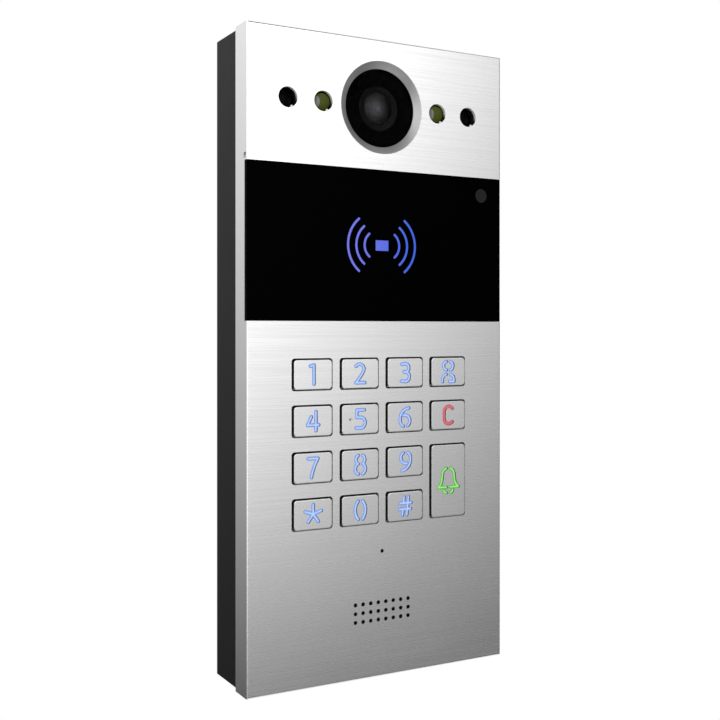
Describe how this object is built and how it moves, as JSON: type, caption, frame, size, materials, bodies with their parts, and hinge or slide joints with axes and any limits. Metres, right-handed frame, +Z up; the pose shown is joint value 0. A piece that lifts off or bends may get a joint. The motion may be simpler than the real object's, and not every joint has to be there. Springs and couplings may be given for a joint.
{
  "type": "door intercom panel",
  "caption": "Slim surface-mounted door intercom panel with a brushed metal front, camera, black card reader window, lit metal keypad, call key and speaker grille.",
  "frame": {"origin": "centre of the wall screw pattern on the wall plane, which is the centre of the panel's outline", "axes": "+X right as a visitor sees the panel, +Y into the wall, +Z up; the front faces -Y"},
  "size_m": [0.0862, 0.0246, 0.188],
  "materials": {
    "cover_metal": "brushed along its width, clear anodised",
    "key_metal": "fine brushed",
    "window_black": "polished black acrylic",
    "symbol_light": "lit blue light guide",
    "sensor_grey": "smoked translucent",
    "legend_blue": "lit light guide",
    "legend_red": "lit light guide",
    "legend_green": "lit light guide",
    "clear_glass": "polished, coated",
    "lens_coated": "coated lens",
    "holder_black": "moulded matt",
    "barrel_black": "black anodised, satin",
    "lamp_phosphor": "water clear over yellow phosphor",
    "lamp_dark": "dark tinted epoxy",
    "board_green": "solder mask over glass fibre",
    "silicone_grey": "matt silicone",
    "dome_steel": "stamped",
    "capsule_metal": "drawn can",
    "rubber_black": "matt",
    "foam_black": "foam",
    "speaker_steel": "stamped, black",
    "speaker_paper": "pressed paper",
    "housing_black": "fine moulded texture",
    "screw_steel": "zinc plated",
    "terminal_green": "moulded",
    "socket_black": "moulded",
    "bracket_steel": "zinc plated sheet"
  },
  "bodies": {
    "panel": {"front_cover": "cover_metal", "window_panel": "window_black", "reader_symbol": "symbol_light", "sensor_lens": "sensor_grey", "reader_board": "board_green", "camera_glass": "clear_glass", "camera_holder": "holder_black", "lens_barrel": "barrel_black", "lens_element": "lens_coated", "camera_board": "board_green", "white_lamps": "lamp_phosphor", "infrared_lamps": "lamp_dark", "keypad_mat": "silicone_grey", "keypad_board": "board_green", "switch_domes": "dome_steel", "microphone": "capsule_metal", "microphone_boot": "rubber_black", "speaker_seal": "foam_black", "speaker_frame": "speaker_steel", "speaker_cone": "speaker_paper", "rear_housing": "housing_black", "cover_seal": "rubber_black", "cover_screws": "screw_steel", "board_screws": "screw_steel", "main_board": "board_green", "terminal_block": "terminal_green", "network_socket": "socket_black", "wall_bracket": "bracket_steel", "locking_screw": "screw_steel", "cable_grommet": "rubber_black"},
    "key_1": {"key_1_cap": "key_metal", "key_1_legend": "legend_blue"},
    "key_2": {"key_2_cap": "key_metal", "key_2_legend": "legend_blue"},
    "key_3": {"key_3_cap": "key_metal", "key_3_legend": "legend_blue"},
    "key_user": {"key_user_cap": "key_metal", "key_user_legend": "legend_blue"},
    "key_4": {"key_4_cap": "key_metal", "key_4_legend": "legend_blue"},
    "key_5": {"key_5_cap": "key_metal", "key_5_legend": "legend_blue"},
    "key_6": {"key_6_cap": "key_metal", "key_6_legend": "legend_blue"},
    "key_clear": {"key_clear_cap": "key_metal", "key_clear_legend": "legend_red"},
    "key_7": {"key_7_cap": "key_metal", "key_7_legend": "legend_blue"},
    "key_8": {"key_8_cap": "key_metal", "key_8_legend": "legend_blue"},
    "key_9": {"key_9_cap": "key_metal", "key_9_legend": "legend_blue"},
    "key_call": {"key_call_cap": "key_metal", "key_call_legend": "legend_green"},
    "key_star": {"key_star_cap": "key_metal", "key_star_legend": "legend_blue"},
    "key_0": {"key_0_cap": "key_metal", "key_0_legend": "legend_blue"},
    "key_hash": {"key_hash_cap": "key_metal", "key_hash_legend": "legend_blue"}
  },
  "joints": [
    {"name": "key_1_press", "type": "slide", "parent": "panel", "child": "key_1", "axis": [0, 1, 0], "range_m": [0, 0.0006], "stiffness_N_per_m": 2500},
    {"name": "key_2_press", "type": "slide", "parent": "panel", "child": "key_2", "axis": [0, 1, 0], "range_m": [0, 0.0006], "stiffness_N_per_m": 2500},
    {"name": "key_3_press", "type": "slide", "parent": "panel", "child": "key_3", "axis": [0, 1, 0], "range_m": [0, 0.0006], "stiffness_N_per_m": 2500},
    {"name": "key_user_press", "type": "slide", "parent": "panel", "child": "key_user", "axis": [0, 1, 0], "range_m": [0, 0.0006], "stiffness_N_per_m": 2500},
    {"name": "key_4_press", "type": "slide", "parent": "panel", "child": "key_4", "axis": [0, 1, 0], "range_m": [0, 0.0006], "stiffness_N_per_m": 2500},
    {"name": "key_5_press", "type": "slide", "parent": "panel", "child": "key_5", "axis": [0, 1, 0], "range_m": [0, 0.0006], "stiffness_N_per_m": 2500},
    {"name": "key_6_press", "type": "slide", "parent": "panel", "child": "key_6", "axis": [0, 1, 0], "range_m": [0, 0.0006], "stiffness_N_per_m": 2500},
    {"name": "key_clear_press", "type": "slide", "parent": "panel", "child": "key_clear", "axis": [0, 1, 0], "range_m": [0, 0.0006], "stiffness_N_per_m": 2500},
    {"name": "key_7_press", "type": "slide", "parent": "panel", "child": "key_7", "axis": [0, 1, 0], "range_m": [0, 0.0006], "stiffness_N_per_m": 2500},
    {"name": "key_8_press", "type": "slide", "parent": "panel", "child": "key_8", "axis": [0, 1, 0], "range_m": [0, 0.0006], "stiffness_N_per_m": 2500},
    {"name": "key_9_press", "type": "slide", "parent": "panel", "child": "key_9", "axis": [0, 1, 0], "range_m": [0, 0.0006], "stiffness_N_per_m": 2500},
    {"name": "key_call_press", "type": "slide", "parent": "panel", "child": "key_call", "axis": [0, 1, 0], "range_m": [0, 0.0006], "stiffness_N_per_m": 2500},
    {"name": "key_star_press", "type": "slide", "parent": "panel", "child": "key_star", "axis": [0, 1, 0], "range_m": [0, 0.0006], "stiffness_N_per_m": 2500},
    {"name": "key_0_press", "type": "slide", "parent": "panel", "child": "key_0", "axis": [0, 1, 0], "range_m": [0, 0.0006], "stiffness_N_per_m": 2500},
    {"name": "key_hash_press", "type": "slide", "parent": "panel", "child": "key_hash", "axis": [0, 1, 0], "range_m": [0, 0.0006], "stiffness_N_per_m": 2500}
  ]
}
